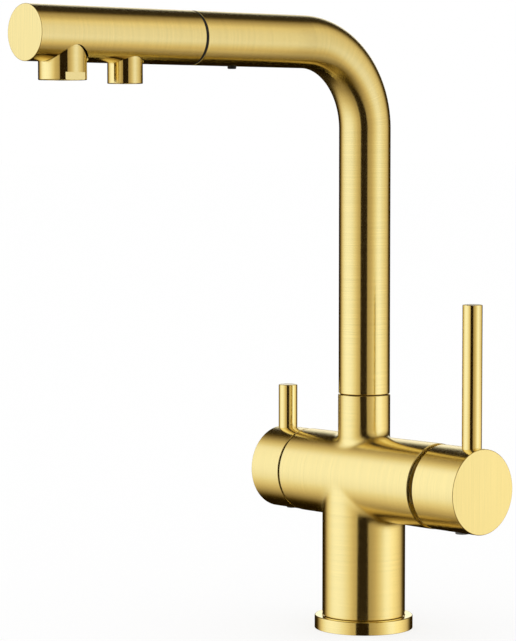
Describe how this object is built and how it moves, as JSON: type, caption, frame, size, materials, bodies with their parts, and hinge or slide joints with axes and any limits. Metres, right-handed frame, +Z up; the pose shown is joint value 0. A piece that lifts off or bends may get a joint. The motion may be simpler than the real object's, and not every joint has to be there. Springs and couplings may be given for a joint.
{
  "type": "three way filtered water tap",
  "caption": "Deck-mounted kitchen tap with a swivel L-shaped spout, a pull-out two-outlet head, a side mixer lever and a filtered-water lever.",
  "frame": {"origin": "on the column's axis, in the face of the worktop (the underside of the base ring)", "axes": "+Z up along the column, the arm reaches towards -Y, the mixer handle is on +X and the filter handle on -X"},
  "size_m": [0.1575, 0.2562, 0.3948],
  "materials": {
    "brushed_gold": "fine circumferential brushing, satin",
    "polished_gold": "fine brushed, nearly polished",
    "raw_brass": "machined",
    "steel": "machined",
    "black_plastic": "fine satin moulding",
    "white_plastic": "moulded",
    "grey_plastic": "moulded",
    "rubber": "matt",
    "ceramic": "lapped ceramic",
    "braid": "woven nylon braid"
  },
  "bodies": {
    "body": {"tee_body": "brushed_gold", "base_ring": "polished_gold", "base_seal": "rubber", "mounting_shank": "raw_brass", "worktop_gasket": "rubber", "clamp_washer": "steel", "lock_nut": "raw_brass", "hose_manifold": "raw_brass", "swivel_clip": "steel", "swivel_glide_ring": "white_plastic", "cartridge_seal": "rubber", "cartridge_base": "grey_plastic", "cartridge_housing": "white_plastic", "cartridge_clamp_nut": "raw_brass", "cartridge_fixed_disc": "ceramic", "filter_valve_seal": "rubber", "filter_fixed_disc": "ceramic", "filter_headwork": "raw_brass"},
    "spout": {"spout_tube": "brushed_gold", "spout_ferrule": "raw_brass", "swivel_o_rings": "rubber", "dock_bush": "black_plastic", "pull_out_hose": "braid", "hose_tail_fitting": "raw_brass"},
    "head": {"head_shell": "brushed_gold", "head_core": "grey_plastic", "head_tail": "black_plastic", "outlet_main": "polished_gold", "aerator_housing": "white_plastic", "aerator_screen": "white_plastic", "outlet_filter": "polished_gold", "filter_straightener": "white_plastic", "hose_head_fitting": "raw_brass", "check_valve": "white_plastic"},
    "mixer_carrier": {"cartridge_carrier": "black_plastic", "cartridge_tilt_pin": "steel"},
    "mixer_disc": {"cartridge_moving_disc": "ceramic", "cartridge_disc_driver": "white_plastic"},
    "mixer_handle": {"cartridge_stem": "raw_brass", "mixer_hub": "brushed_gold", "mixer_lever": "polished_gold", "mixer_set_screw": "steel", "mixer_screw_cap": "grey_plastic"},
    "filter_handle": {"filter_hub": "brushed_gold", "filter_lever": "polished_gold", "filter_set_screw": "steel", "filter_screw_cap": "grey_plastic", "filter_spindle": "raw_brass", "filter_turning_disc": "ceramic", "filter_spindle_o_rings": "rubber", "filter_spindle_clip": "steel"}
  },
  "joints": [
    {"name": "spout_swivel", "type": "hinge", "parent": "body", "child": "spout", "pos_m": [0, 0, 0.1288], "axis": [0, 0, 1], "range_deg": [-180, 180]},
    {"name": "head_pull_out", "type": "slide", "parent": "spout", "child": "head", "axis": [0, -1, 0], "range_m": [0, 0.4], "deforming": ["pull_out_hose"]},
    {"name": "mixer_temperature", "type": "hinge", "parent": "body", "child": "mixer_carrier", "pos_m": [0.0685, 0, 0.0832], "axis": [1, 0, 0], "range_deg": [-45, 45]},
    {"name": "mixer_flow", "type": "hinge", "parent": "mixer_carrier", "child": "mixer_handle", "pos_m": [0.0685, 0, 0.0832], "axis": [0, 1, 0], "range_deg": [0, 20]},
    {"name": "mixer_disc_slide", "type": "slide", "parent": "mixer_carrier", "child": "mixer_disc", "axis": [0, 0, 1], "range_m": [0, 0.0036]},
    {"name": "filter_turn", "type": "hinge", "parent": "body", "child": "filter_handle", "pos_m": [-0.06205, 0, 0.0832], "axis": [1, 0, 0], "range_deg": [0, 90]}
  ],
  "couplings": [
    {"joint": "mixer_disc_slide", "follows": "mixer_flow", "m_per_rad": 0.0096}
  ]
}
